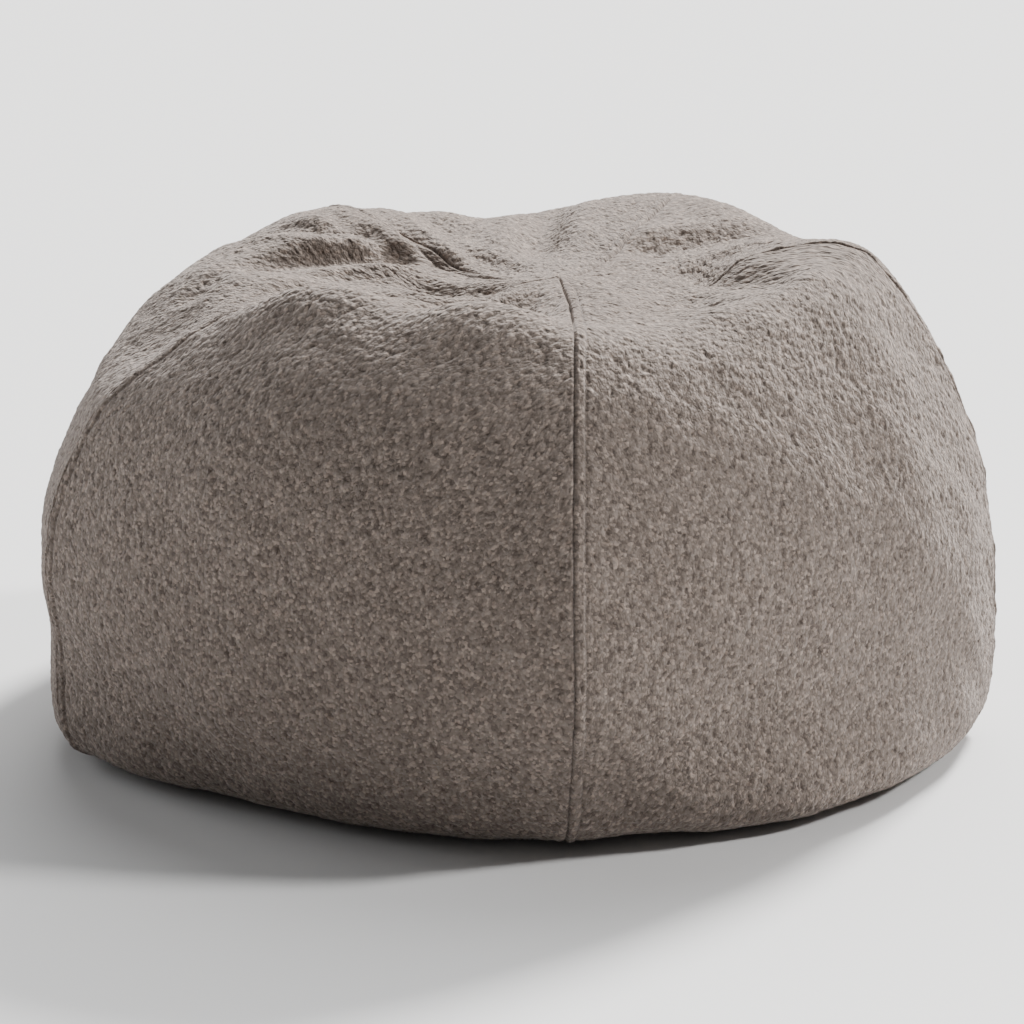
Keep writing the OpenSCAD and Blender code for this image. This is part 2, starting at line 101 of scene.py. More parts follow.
# A Catmull-Rom curve through evenly spaced points, at places 0 to 1
def curveThrough(points, place):
    p = np.array(points, float)
    p = np.vstack([2 * p[0] - p[1], p, 2 * p[-1] - p[-2]])
    last = len(points) - 2
    x = np.clip(place, 0, 1) * (last + 1)
    i = np.minimum(x.astype(int), last)
    f = (x - i)[..., None]
    a, b, c, d = p[i], p[i + 1], p[i + 2], p[i + 3]
    return (2 * b + (c - a) * f + (2 * a - 5 * b + 4 * c - d) * f ** 2 + (3 * b - a - 3 * c + d) * f ** 3) / 2


# The bag's smooth skin: the profile turned round the axis, flattened between seams, with bulges and folds
def skinPoint(azimuth, level, pleated=True):
    shape = bagShape
    side = 360 / shape["gores"]
    offMiddle = np.radians((azimuth - shape["firstSeam"]) % side - side / 2)
    flat = shape["flatness"] * (1 - smooth(level, 0.55, 0.9))
    rho, up = np.moveaxis(curveThrough(shape["profile"], level), -1, 0)
    rho = rho * (1 - flat * (1 - math.cos(math.radians(side / 2)) / np.cos(offMiddle)))
    for az, half, at, halfLevel, out, rise in shape["bulges"]:
        reach = hump(turnedBy(azimuth - az) / half) * hump((level - at) / halfLevel)
        rho, up = rho + out * reach, up + rise * reach
    for az, half, depth, low, high in shape["folds"] + (shape["pleats"] if pleated else []):
        along = 1 - np.abs(level - (low + high) / 2) / ((high - low) / 2)
        up = up - depth * hump(turnedBy(azimuth - az) / half) * smooth(along, 0, 1)
    lean = smooth(level, 0.35, 1)
    a = np.radians(azimuth)
    x = unitW * (rho * np.sin(a) + shape["pole"][0] * lean - shape["centre"][0])
    y = unitD * (shape["pole"][1] * lean - rho * np.cos(a) - shape["centre"][1])
    return np.stack([x, y, unitH * up], -1)


# The azimuth of a cut line of the cloth at a level: the right seam leans back over the top
def leanedAzimuth(azimuth, level):
    at, half, degrees, low, high = bagShape["leanBack"]
    return azimuth + degrees * hump(turnedBy(azimuth - at) / half) * smooth(level, low, high)


# Soft unevenness: a sum of cosines in random directions, from about -1 to 1
def softNoise(points, wave, seed, terms=7):
    rng = np.random.default_rng(seed)
    total = np.zeros(points.shape[:-1])
    for _ in range(terms):
        direction = rng.normal(size=3)
        direction *= 2 * math.pi / (wave * rng.uniform(0.7, 1.4) * np.linalg.norm(direction))
        total += np.cos(points @ direction + rng.uniform(0, 2 * math.pi))
    return total / math.sqrt(terms)


# Creases: valleys pressed into the cloth along a path of (azimuth, level), with a soft lip on both sides.
# A depth under zero makes a rise.
creaseSpec = {
    # path, half width, depth
    "paths": [([(-92, 0.66), (-99, 0.705), (-108, 0.75), (-118, 0.795), (-127, 0.835), (-136, 0.89)],
               0.018, 0.013),
              ([(-112, 0.84), (-100, 0.87), (-84, 0.925), (-68, 0.965)], 0.015, 0.009),
              ([(-131, 0.65), (-125, 0.73), (-126, 0.79), (-130, 0.84)], 0.013, 0.006),
              ([(-142, 0.69), (-137, 0.77), (-135, 0.85), (-138, 0.92)], 0.013, 0.008),
              ([(-152, 0.72), (-148, 0.80), (-150, 0.88), (-154, 0.95)], 0.013, 0.006),
              ([(-110, 0.61), (-115, 0.66), (-118, 0.73), (-121, 0.77)], 0.016, 0.007),
              ([(-84, 0.60), (-88, 0.64), (-95, 0.68)], 0.020, 0.006),
              ([(130, 0.87), (112, 0.83), (90, 0.79), (66, 0.74), (46, 0.70)], 0.026, 0.009),
              ([(148, 0.89), (138, 0.83), (127, 0.75), (118, 0.66)], 0.020, 0.009),
              ([(174, 0.64), (178, 0.72), (182, 0.80), (188, 0.90)], 0.024, 0.014),
              ([(30, 0.86), (34, 0.78), (30, 0.70)], 0.020, 0.004),
              ([(208, 0.62), (206, 0.74), (202, 0.88)], 0.020, 0.007),
              ([(246, 0.50), (243, 0.60), (240, 0.72)], 0.022, 0.006),
              ([(104, 0.48), (108, 0.58), (112, 0.66)], 0.022, 0.006),
              # two rises: the crest over the left front gore, and the swell below it
              ([(-104, 0.61), (-95, 0.66), (-87, 0.71), (-87, 0.76), (-80, 0.82), (-64, 0.875),
                (-42, 0.925)], 0.026, -0.007),
              ([(-94, 0.60), (-82, 0.66), (-68, 0.71), (-52, 0.76), (-34, 0.79), (-18, 0.80)],
               0.060, -0.012)],
    "softWaves": [(0.30, 0.0022), (0.12, 0.0013), (0.055, 0.0006)],  # wavelength, height
    "lip": (0.3, 1.9, 0.8),  # share of the depth, distance and width in half widths
}


# Outward directions, worked out across a seam as well, so that both gores agree there
def skinFacing(azimuth, level, step=1.0):
    levelStep = step / 90
    across = skinPoint(azimuth + step, level) - skinPoint(azimuth - step, level)
    lower, upper = np.maximum(level - levelStep, 0), np.minimum(level + levelStep, 1)
    facing = unitVectors(np.cross(across, skinPoint(azimuth, upper) - skinPoint(azimuth, lower)))
    top = smooth(level, 0.975, 1.0)[..., None]
    return unitVectors(facing * (1 - top) + np.array([0, 0, 1.0]) * top)


# Distance from each point to a path of short straight pieces, and how far along the path it is
def pathDistance(points, path):
    nearest, along = np.full(points.shape[:-1], 1e9), np.zeros(points.shape[:-1])
    count = len(path) - 1
    for k in range(count):
        step = path[k + 1] - path[k]
        share = np.clip(((points - path[k]) @ step) / (step @ step), 0, 1)
        distance = np.linalg.norm(points - path[k] - share[..., None] * step, axis=-1)
        along = np.where(distance < nearest, (k + share) / count, along)
        nearest = np.minimum(nearest, distance)
    return nearest, along


# Length walked along a path, at each of its points
def walkedLength(path):
    return np.concatenate([[0], np.cumsum(np.linalg.norm(np.diff(path, axis=0), axis=-1))])


# Values of a path's points, at given walked lengths
def alongPath(at, walked, values):
    return np.stack([np.interp(at, walked, values[:, c]) for c in range(values.shape[1])], -1)


# How far the cloth stands off the smooth skin: soft waves over the beads, less the creases
def clothRise(points, level):
    spec = creaseSpec
    lip, lipAt, lipWidth = spec["lip"]
    rise = sum(h * softNoise(points, w, 10 + k) for k, (w, h) in enumerate(spec["softWaves"]))
    rise = rise * smooth(level, 0, 0.06)
    for path, half, depth in spec["paths"]:
        marks = curveThrough(path, np.linspace(0, 1, 12))
        d, along = pathDistance(points, skinPoint(marks[:, 0], marks[:, 1]))
        d = d / half
        taper = smooth(along, 0, 0.4) * (1 - smooth(along, 0.7, 1))
        rise = rise - taper * depth * (np.exp(-d * d) - lip * np.exp(-((d - lipAt) / lipWidth) ** 2))
    return rise * (1 - smooth(level, 0.985, 1.0))


# The skin with its waves and creases: what every layer of the bag follows
def drapedSkin(azimuth, level):
    base = skinPoint(azimuth, level)
    return base + skinFacing(azimuth, level) * clothRise(base, level)[..., None]


# Repeatable random numbers from 0 to 1 for whole-number cells
def cellRandom(i, j, seed):
    h = (i.astype(np.int64) * 374761393 + j.astype(np.int64) * 668265263 + seed * 974634777) & 0xFFFFFFFF
    h = ((h ^ (h >> 13)) * 1274126177) & 0xFFFFFFFF
    return ((h ^ (h >> 16)) & 0xFFFF) / 65535


# Nubs of looped yarn: round caps scattered one to a cell, with pits where they don't meet
def nubHeight(x, y, size, seed):
    best = np.zeros(x.shape)
    gx, gy = np.floor(x / size), np.floor(y / size)
    for dx in (-1, 0, 1):
        for dy in (-1, 0, 1):
            i, j = gx + dx, gy + dy
            px = (i + 0.5 + 0.75 * (cellRandom(i, j, seed) - 0.5)) * size
            py = (j + 0.5 + 0.75 * (cellRandom(i, j, seed + 1) - 0.5)) * size
            radius = size * (0.55 + 0.35 * cellRandom(i, j, seed + 2))
            tall = 0.45 + 0.55 * cellRandom(i, j, seed + 3)
            cap = 1 - ((x - px) ** 2 + (y - py) ** 2) / radius ** 2
            best = np.maximum(best, tall * np.sqrt(np.clip(cap, 0, 1)))
    return best


# Makes an object from arrays: corners, four-sided and three-sided faces, one (u, v) and one value per corner
def makePiece(name, corners, quads, tris, uv=None, values=None):
    mesh = bpy.data.meshes.new(name)
    corners = np.asarray(corners, np.float32)
    quads = np.asarray(quads, np.int32).reshape(-1, 4)
    tris = np.asarray(tris, np.int32).reshape(-1, 3)
    loops = np.concatenate([quads.ravel(), tris.ravel()])
    sizes = np.concatenate([np.full(len(quads), 4), np.full(len(tris), 3)])
    mesh.vertices.add(len(corners))
    mesh.vertices.foreach_set("co", corners.ravel())
    mesh.loops.add(len(loops))
    mesh.loops.foreach_set("vertex_index", loops.astype(np.int32))
    mesh.polygons.add(len(sizes))
    mesh.polygons.foreach_set("loop_start", np.concatenate([[0], np.cumsum(sizes)[:-1]]).astype(np.int32))
    mesh.polygons.foreach_set("use_smooth", np.ones(len(sizes), bool))
    if uv is not None:
        mesh.uv_layers.new(name="cloth").data.foreach_set("uv", np.asarray(uv, np.float32)[loops].ravel())
    for key, value in (values or {}).items():
        data = mesh.attributes.new(key, "FLOAT", "POINT").data
        data.foreach_set("value", np.asarray(value, np.float32).ravel())
    mesh.update(calc_edges=True)
    mesh.validate()
    piece = bpy.data.objects.new(name, mesh)
    bpy.context.scene.collection.objects.link(piece)
    return piece


# Gives a new piece its material and body, and hides the frame's piece that it stands for
def fitOut(piece, paint, node):
    piece.data.materials.append(paint)
    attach(piece, "bag")
    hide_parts(node)


# Materials
def newMaterial(name, **shader):
    material = bpy.data.materials.new(name)
    material.use_nodes = True
    nodes = material.node_tree.nodes
    principled = nodes["Principled BSDF"]
    for key, value in shader.items():
        principled.inputs[key].default_value = value
    return material, nodes, material.node_tree.links, principled


def plainMaterial(name, colour, **shader):
    material, _, _, principled = newMaterial(name, **shader)
    principled.inputs["Base Color"].default_value = (*colour, 1)
    return material


def addNode(nodes, kind, settings=None, **inputs):
    node = nodes.new(kind)
    for key, value in (settings or {}).items():
        setattr(node, key, value)
    for key, value in inputs.items():
        node.inputs[key].default_value = value
    return node


def addRamp(nodes, links, fac, stops):
    ramp = nodes.new("ShaderNodeValToRGB")
    elements = ramp.color_ramp.elements
    while len(elements) < len(stops):
        elements.new(0.5)
    for element, (place, colour) in zip(elements, stops):
        element.position, element.color = place, (*colour, 1)
    links.new(fac, ramp.inputs["Fac"])
    return ramp.outputs["Color"]


def addMix(nodes, links, a, b, fac=0.5, blend="MIX"):
    mix = addNode(nodes, "ShaderNodeMix", {"data_type": "RGBA", "blend_type": blend})
    for socket, value in ((mix.inputs["Factor"], fac), (mix.inputs["A"], a), (mix.inputs["B"], b)):
        if isinstance(value, bpy.types.NodeSocket):
            links.new(value, socket)
        else:
            socket.default_value = value
    return mix.outputs["Result"]


boucleLook = {
    # the first three: colour by height, painted shade in the pits and along the seams, painted light on the
    # tops
    "pitShade": (0.080, 0.063, 0.054),
    "middle": (0.165, 0.137, 0.120),
    "light": (0.215, 0.183, 0.163),
    "curl": 0.0031,  # width of one curl of yarn
    "ripple": 0.0068,  # width of one row of curls
    "slant": (0.62, (1.0, 0.70, 1.0)),  # turn and stretch of the rows
    "curlDip": 0.22,  # share of the height at a curl's edge
    "nubShare": 0.30,  # share of the height from the modelled nubs
    "flecks": [(0.0, (0.58, 0.56, 0.55)), (0.3, (0.90, 0.87, 0.84)),
               (0.7, (1.05, 1.04, 1.03)), (1.0, (1.62, 1.55, 1.48))],  # tint of each curl, by chance
    "bump": 0.0030,
    "sheen": 0.30,
}


# Looped wool: slanting rows of curls as bump, with painted shade in the pits between them and painted
# light on their tops, mixed pale and brown yarns, and a soft sheen
def boucleMaterial(name):
    look = boucleLook
    material, nodes, links, shader = newMaterial(name, Roughness=0.94)
    shader.inputs["Specular IOR Level"].default_value = 0.12
    shader.inputs["Sheen Weight"].default_value = look["sheen"]
    shader.inputs["Sheen Roughness"].default_value = 0.5
    shader.inputs["Sheen Tint"].default_value = (0.80, 0.74, 0.70, 1)
    uv = addNode(nodes, "ShaderNodeUVMap", {"uv_map": "cloth"}).outputs["UV"]
    nub = addNode(nodes, "ShaderNodeAttribute", {"attribute_name": "nub"}).outputs["Fac"]
    slant = addNode(nodes, "ShaderNodeMapping")
    slant.inputs["Rotation"].default_value = (0, 0, look["slant"][0])
    slant.inputs["Scale"].default_value = look["slant"][1]
    links.new(uv, slant.inputs["Vector"])
    rows = addNode(nodes, "ShaderNodeTexNoise", Scale=1 / look["ripple"], Detail=2.0, Roughness=0.6,
                   Distortion=0.4)
    links.new(slant.outputs["Vector"], rows.inputs["Vector"])
    curls = addNode(nodes, "ShaderNodeTexVoronoi", Scale=1 / look["curl"])
    links.new(uv, curls.inputs["Vector"])
    rise = addNode(nodes, "ShaderNodeMath", {"operation": "MULTIPLY_ADD"})
    links.new(curls.outputs["Distance"], rise.inputs[0])
    rise.inputs[1].default_value = -look["curlDip"]
    links.new(rows.outputs["Fac"], rise.inputs[2])
    height = addNode(nodes, "ShaderNodeMath", {"operation": "MULTIPLY_ADD"})
    links.new(nub, height.inputs[0])
    height.inputs[1].default_value = look["nubShare"]
    links.new(rise.outputs[0], height.inputs[2])
    # painted shade and light: the colour follows the height, dark in the pits and at the curls' edges, light
    # on the tops
    body = addRamp(nodes, links, height.outputs[0],
                   [(0.22, look["pitShade"]), (0.48, look["middle"]), (0.78, look["light"])])
    tone = addNode(nodes, "ShaderNodeSeparateColor")
    links.new(curls.outputs["Color"], tone.inputs["Color"])
    flecks = addRamp(nodes, links, tone.outputs["Red"], look["flecks"])
    colour = addMix(nodes, links, body, flecks, 1.0, "MULTIPLY")
    links.new(colour, shader.inputs["Base Color"])
    bump = addNode(nodes, "ShaderNodeBump", Strength=1.0, Distance=look["bump"])
    links.new(height.outputs[0], bump.inputs["Height"])
    links.new(bump.outputs["Normal"], shader.inputs["Normal"])
    return material


boucle = boucleMaterial("taupeBoucle")


# Plain woven cloth: two crossed sets of fine yarns, as bump and as a slight change of colour
def wovenMaterial(name, pale, dark, pitch):
    material, nodes, links, shader = newMaterial(name, Roughness=0.85)
    shader.inputs["Specular IOR Level"].default_value = 0.25
    shader.inputs["Sheen Weight"].default_value = 0.1
    place = addNode(nodes, "ShaderNodeTexCoord").outputs["Object"]
    waves = []
    for direction in ("X", "Y"):
        wave = addNode(nodes, "ShaderNodeTexWave", {"wave_type": "BANDS", "bands_direction": direction},
                       Scale=math.pi / (10 * pitch), Distortion=0.6, Detail=1.0)
        wave.inputs["Detail Scale"].default_value = 2.0
        links.new(place, wave.inputs["Vector"])
        waves.append(wave.outputs["Fac"])
    both = addNode(nodes, "ShaderNodeMath", {"operation": "MULTIPLY"})
    links.new(waves[0], both.inputs[0])
    links.new(waves[1], both.inputs[1])
    patch = addNode(nodes, "ShaderNodeTexNoise", Scale=14.0, Detail=5.0)
    links.new(place, patch.inputs["Vector"])
    woven = addRamp(nodes, links, both.outputs[0], [(0.1, dark), (0.7, pale)])
    tone = addRamp(nodes, links, patch.outputs["Fac"], [(0.3, (0.88, 0.88, 0.88)), (0.7, (1, 1, 1))])
    links.new(addMix(nodes, links, woven, tone, 1.0, "MULTIPLY"), shader.inputs["Base Color"])
    bump = addNode(nodes, "ShaderNodeBump", Strength=0.6, Distance=0.25 * pitch)
    links.new(both.outputs[0], bump.inputs["Height"])
    links.new(bump.outputs["Normal"], shader.inputs["Normal"])
    return material


# The cover's gores
goreSpec = {
    "names": ["front_right", "back_right", "back", "back_left", "front_left"],
    "columns": 290,
    "rows": 420,
    "coarse": 10,  # grid steps of the plain inner face
    "cloth": 0.003,
    "slack": 0.0012,  # more thickness, for the grooves and pits
    "nub": 0.0064,
    "nubHeight": 0.0026,
    "grooveDepth": 0.0026,
    "grooveWidth": 0.0015,
    "welt": 0.012,
    "weltRise": 0.0010,
    "stitchDepth": 0.0013,
    "stitchWidth": 0.0018,
    "pucker": (0.03, 0.0009, 0.022),  # wavelength, height, reach from the seam
    "slant": -40,  # degrees, of the rows of nubs
    "stretch": 1.35,  # of the nubs along their rows
    "fine": (0.6, 0.32),  # size and share of the finer nubs
    "paintedSeamShade": (0.0013, 0.45, 0.10),  # painted shade of a groove: width, amount; of the topstitch: amount
}


# Outward directions of a gore's grid, from its own cloth inside and from the smooth skin at its edges
def gridFacing(azimuth, level, grid):
    normal = unitVectors(np.cross(np.gradient(grid, axis=1), np.gradient(grid, axis=0)))
    blend = np.ones(grid.shape[:2])
    blend[:, :3], blend[:, -3:] = (0, 0.3, 0.7), (0.7, 0.3, 0)
    blend = (blend * smooth(level, 0, 0.02) * (1 - smooth(level, 0.965, 0.99)))[..., None]
    return unitVectors(normal * blend + skinFacing(azimuth, level) * (1 - blend))


# Places 0 to 1 across a gore, closer together beside its seams
def spacedColumns(count):
    t = np.linspace(0, 1, 2001)
    density = 1 / (1 - 0.64 * (np.exp(-(t / 0.028) ** 2) + np.exp(-((1 - t) / 0.028) ** 2)))
    places = np.concatenate([[0], np.cumsum(density[1:])])
    return np.interp(np.linspace(0, 1, count + 1), places / places[-1], t)


# One gore: the skin between two seams, with the seam's groove and welt, soft waves and nubs on it
def goreSurface(index):
    spec = goreSpec
    side = 360 / bagShape["gores"]
    places = spacedColumns(spec["columns"])
    share, level = np.meshgrid(places, np.linspace(0, 1, spec["rows"] + 1))
    azimuth = leanedAzimuth(bagShape["firstSeam"] + side * (index + share), level)
    base = drapedSkin(azimuth, level)
    facing = gridFacing(azimuth, level, base)
    stepX = np.linalg.norm(np.diff(base, axis=1), axis=-1)
    fromLeft = np.concatenate([np.zeros((len(level), 1)), np.cumsum(stepX, axis=1)], axis=1)
    width = fromLeft[:, -1:]
    fromRight = width - fromLeft
    climb = walkedLength(base[:, np.argmin(np.abs(places - 0.5))])
    x, y = fromLeft - width / 2, np.broadcast_to(climb[:, None], share.shape)

    def besideSeams(reach):
        return np.exp(-(fromLeft / reach) ** 2) + np.exp(-(fromRight / reach) ** 2)

    # seam: a groove at both edges, and at the left one a raised welt that ends in the topstitch
    groove = -spec["grooveDepth"] * besideSeams(spec["grooveWidth"])
    weltFade = smooth(width, 0.03, 0.12)
    welt = spec["welt"]
    stitch = np.exp(-((fromLeft - welt) / spec["stitchWidth"]) ** 2)
    rise = smooth(fromLeft, 0.001, 0.004) * (1 - smooth(fromLeft, welt - 0.002, welt + 0.001))
    seam = groove + weltFade * (spec["weltRise"] * rise - spec["stitchDepth"] * stitch)
    wave, tall, reach = spec["pucker"]
    pucker = softNoise(np.stack([fromLeft * 0.2, y, 0 * y], -1), wave, 40 + index)
    seam = seam + tall * pucker * np.exp(-(fromLeft / reach) ** 2) * weltFade
    # nubs, longer along their slanting rows than across
    slant = math.radians(spec["slant"])
    along = (x * math.cos(slant) + y * math.sin(slant)) / spec["stretch"]
    across = -x * math.sin(slant) + y * math.cos(slant)
    fineSize, fineShare = spec["fine"]
    coarse = nubHeight(along + 5 + index, across + 5, spec["nub"], 100 + 10 * index)
    fine = nubHeight(along + 7 + index, across + 3, spec["nub"] * fineSize, 200 + 10 * index)
    nub = (1 - fineShare) * coarse + fineShare * fine
    still = smooth(np.minimum(fromLeft, fromRight), 0.001, 0.005) * (1 - 0.6 * stitch * weltFade)
    still = still * smooth(level, 0, 0.01) * (1 - smooth(level, 0.985, 1))
    height = seam + spec["nubHeight"] * (nub - 0.5) * still
    outer = base + facing * height[..., None]
    outer[..., 2] = np.maximum(outer[..., 2], 0.0002)  # just off the ground
    # painted shade: the colour value is lowered along the seams' grooves and the topstitch, and the nubs'
    # heights give it dark pits
    shadeReach, paintedSeamShade, paintedStitchShade = spec["paintedSeamShade"]
    pitShade = 0.5 + (nub - 0.5) * still - paintedSeamShade * besideSeams(shadeReach) - paintedStitchShade * stitch * weltFade
    return {"outer": outer, "base": base, "facing": facing, "smoothFacing": skinFacing(azimuth, level),
            "uv": np.stack([x + 2, y + 1], -1), "nub": pitShade, "fromLeft": fromLeft}


# A closed shell: the fine outer grid, a coarse inner grid, and a rim that joins their edges
def goreShell(name, made):
    rows, columns, k, cloth = [goreSpec[key] for key in ("rows", "columns", "coarse", "cloth")]
    fine = np.concatenate([made["outer"][:-1].reshape(-1, 3), made["outer"][-1, :1]])
    pole = rows * (columns + 1)
    ids = np.concatenate([np.arange(pole).reshape(rows, columns + 1), np.full((1, columns + 1), pole)])
    depth = cloth + goreSpec["slack"]
    innerGrid = (made["base"] - made["smoothFacing"] * depth)[::k, ::k]
    innerGrid[0] = made["base"][0, ::k] + [0, 0, cloth]
    innerRows, innerColumns = innerGrid.shape[0] - 1, innerGrid.shape[1] - 1
    start = pole + 1
    inner = np.concatenate([innerGrid[:-1].reshape(-1, 3), innerGrid[-1, :1]])
    innerPole = start + innerRows * (innerColumns + 1)
    innerIds = np.concatenate([start + np.arange(innerRows * (innerColumns + 1)).reshape(innerRows, -1),
                               np.full((1, innerColumns + 1), innerPole)])

    def faces(grid, flip):
        a, b, c, d = grid[:-1, :-1], grid[:-1, 1:], grid[1:, 1:], grid[1:, :-1]
        quads = np.stack([a, b, c, d], -1)[:-1].reshape(-1, 4)
        tris = np.stack([a, b, c], -1)[-1].reshape(-1, 3)
        return (quads[:, ::-1], tris[:, ::-1]) if flip else (quads, tris)

    outerQuads, outerTris = faces(ids, False)
    innerQuads, innerTris = faces(innerIds, True)
    rimFine = np.concatenate([ids[0, :-1], ids[:-1, -1], ids[::-1, 0][:-1]])
    rimInner = np.concatenate([innerIds[0, :-1], innerIds[:-1, -1], innerIds[::-1, 0][:-1]])
    f = np.concatenate([rimFine, rimFine[:1]])
    near = np.concatenate([rimInner, rimInner[:1]])
    q = np.arange(len(rimFine))
    strip = np.stack([f[q + 1], f[q], near[(q + k // 2) // k]], -1)
    m = np.arange(len(rimInner))
    gaps = np.stack([f[m * k + k // 2], near[m], near[m + 1]], -1)
    corners = np.concatenate([fine, inner])
    uv = np.concatenate([made["uv"][:-1].reshape(-1, 2), made["uv"][-1, :1],
                         made["uv"][::k, ::k][:-1].reshape(-1, 2), made["uv"][-1, :1]])
    nub = np.concatenate([made["nub"][:-1].ravel(), made["nub"][-1, :1], np.full(len(inner), 0.5)])
    return makePiece(name, corners, np.concatenate([outerQuads, innerQuads]),
                     np.concatenate([outerTris, innerTris, strip, gaps]), uv, {"nub": nub})


gores = []
for index, place in enumerate(goreSpec["names"]):
    made = goreSurface(index)
    piece = goreShell("gore_" + place, made)
    fitOut(piece, boucle, "cover_gore_" + place)
    gores.append(made)
print("gores made:", len(gores))

# The topstitching
stitchSpec = {
    "pitch": 0.0060,
    "length": 0.0046,
    "thread": 0.0009,
    "lift": 0.0002,
    "reach": 0.002,  # to both sides, for the direction of a stitch
    "rings": 5,
    "sides": 6,
    "levels": (0.02, 0.955),
}


# A row of stitches along a path: each one a short spindle of thread that dips in at both ends
def stitchRow(path, facing, spec):
    walked = walkedLength(path)
    count = int(walked[-1] / spec["pitch"])
    at = (np.arange(count) + 0.5) * spec["pitch"]
    centre = alongPath(at, walked, path)
    out = unitVectors(alongPath(at, walked, facing))
    reach = spec["reach"]
    along = unitVectors(alongPath(at + reach, walked, path) - alongPath(at - reach, walked, path))
    across = unitVectors(np.cross(along, out))
    ringAt = np.linspace(-1, 1, spec["rings"])
    thick = spec["thread"] / 2 * np.sqrt(1 - 0.75 * ringAt ** 2)
    dip = -spec["thread"] * 0.7 * ringAt ** 2 + spec["lift"]
    angle = np.arange(spec["sides"]) * 2 * math.pi / spec["sides"]
    ringX = np.repeat(ringAt * spec["length"] / 2, spec["sides"])
    ringY = (thick[:, None] * np.cos(angle)).ravel()
    ringZ = (dip[:, None] + thick[:, None] * np.sin(angle)).ravel()
    corners = (centre[:, None] + along[:, None] * ringX[:, None] + across[:, None] * ringY[:, None]
               + out[:, None] * ringZ[:, None])
    perStitch = spec["rings"] * spec["sides"]
    r, s = np.meshgrid(np.arange(spec["rings"] - 1), np.arange(spec["sides"]), indexing="ij")
    a, b = r * spec["sides"] + s, r * spec["sides"] + (s + 1) % spec["sides"]
    walls = np.stack([a, a + spec["sides"], b + spec["sides"], b], -1).reshape(-1, 4)
    ends, last = [], perStitch - spec["sides"]
    for k in range(1, spec["sides"] - 1):
        ends += [[0, k, k + 1], [last, last + k + 1, last + k]]
    shift = np.arange(count)[:, None, None] * perStitch
    return corners.reshape(-1, 3), (walls + shift).reshape(-1, 4), (np.array(ends) + shift).reshape(-1, 3)


# Joins the arrays of several rows into one piece's arrays
def joinParts(parts):
    corners, quads, tris, start = [], [], [], 0
    for c, q, t in parts:
        corners.append(c)
        quads.append(q + start)
        tris.append(t + start)
        start += len(c)
    return np.concatenate(corners), np.concatenate(quads), np.concatenate(tris)


# Twisted thread: fine dark and pale plies, as colour and bump
def threadMaterial(name, colour):
    material, nodes, links, shader = newMaterial(name, Roughness=0.62)
    shader.inputs["Sheen Weight"].default_value = 0.15
    place = addNode(nodes, "ShaderNodeTexCoord").outputs["Object"]
    ply = addNode(nodes, "ShaderNodeTexNoise", Scale=900.0, Detail=2.0)
    links.new(place, ply.inputs["Vector"])
    dark = tuple(0.6 * c for c in colour)
    plyColour = addRamp(nodes, links, ply.outputs["Fac"], [(0.35, dark), (0.65, colour)])
    links.new(plyColour, shader.inputs["Base Color"])
    bump = addNode(nodes, "ShaderNodeBump", Strength=0.5, Distance=0.0003)
    links.new(ply.outputs["Fac"], bump.inputs["Height"])
    links.new(bump.outputs["Normal"], shader.inputs["Normal"])
    return material


threadColour = threadMaterial("brownThread", (0.20, 0.165, 0.145))


# The topstitch's path on a gore: one welt's width from its left seam
def weltPath(made):
    low, high = [int(v * goreSpec["rows"]) for v in stitchSpec["levels"]]
    distance, welt = made["fromLeft"][low:high], goreSpec["welt"]
    after = (distance < welt).sum(axis=1)
    rows = np.arange(len(distance))
    before = distance[rows, after - 1]
    share = (welt - before) / (distance[rows, after] - before)
    outer, facing = made["outer"][low:high], made["facing"][low:high]
    path = outer[rows, after - 1] * (1 - share[:, None]) + outer[rows, after] * share[:, None]
    return path, facing[rows, after]


topstitch = makePiece("gore_topstitching", *joinParts([stitchRow(*weltPath(m), stitchSpec) for m in gores]))
fitOut(topstitch, threadColour, "gore_topstitch")
print("topstitching made")


# A closed shell from an outer and an inner grid of the same size; a poled one narrows to a point
def layeredShell(name, outer, inner, poled=False):
    rows, columns = outer.shape[:2]
    ids = np.arange(rows * columns).reshape(rows, columns)
    if poled:
        ids[-1] = ids[-1, 0]
    back = ids + rows * columns

    def faces(g):
        return np.stack([g[:-1, :-1], g[:-1, 1:], g[1:, 1:], g[1:, :-1]], -1).reshape(-1, 4)

    lastRow = [] if poled else [ids[-1, :0:-1]]
    rim = np.concatenate([ids[0, :-1], ids[:-1, -1]] + lastRow + [ids[::-1, 0][:-1]])
    after = np.roll(rim, -1)
    walls = np.stack([after, rim, rim + rows * columns, after + rows * columns], -1)
    quads = np.concatenate([faces(ids), faces(back)[:, ::-1], walls])
    corners = np.concatenate([outer.reshape(-1, 3), inner.reshape(-1, 3)])
    return tidied(makePiece(name, corners, quads, []))


# Merges corners that lie on each other, drops loose ones and makes faces point outwards
def tidied(piece, near=1e-6):
    mesh = bmesh.new()
    mesh.from_mesh(piece.data)
    bmesh.ops.remove_doubles(mesh, verts=mesh.verts, dist=near)
    bmesh.ops.dissolve_degenerate(mesh, edges=mesh.edges, dist=near)
    loose = [v for v in mesh.verts if not v.link_faces]
    bmesh.ops.delete(mesh, geom=loose, context="VERTS")
    bmesh.ops.recalc_face_normals(mesh, faces=mesh.faces)
    mesh.to_mesh(piece.data)
    mesh.free()
    return piece


# Carries closed sections, one per station, along a piece, and closes both ends
def sectionLoft(name, sections):
    stations, around = sections.shape[:2]
    ids = np.arange(stations * around).reshape(stations, around)
    turn = np.roll(ids, -1, axis=1)
    quads = np.stack([ids[:-1], turn[:-1], turn[1:], ids[1:]], -1).reshape(-1, 4)
    ends = []
    for ring, flip in ((ids[0], True), (ids[-1], False)):
        fan = np.stack([np.full(around - 2, ring[0]), ring[1:-1], ring[2:]], -1)
        ends.append(fan[:, ::-1] if flip else fan)
    return tidied(makePiece(name, sections.reshape(-1, 3), quads, np.concatenate(ends)))


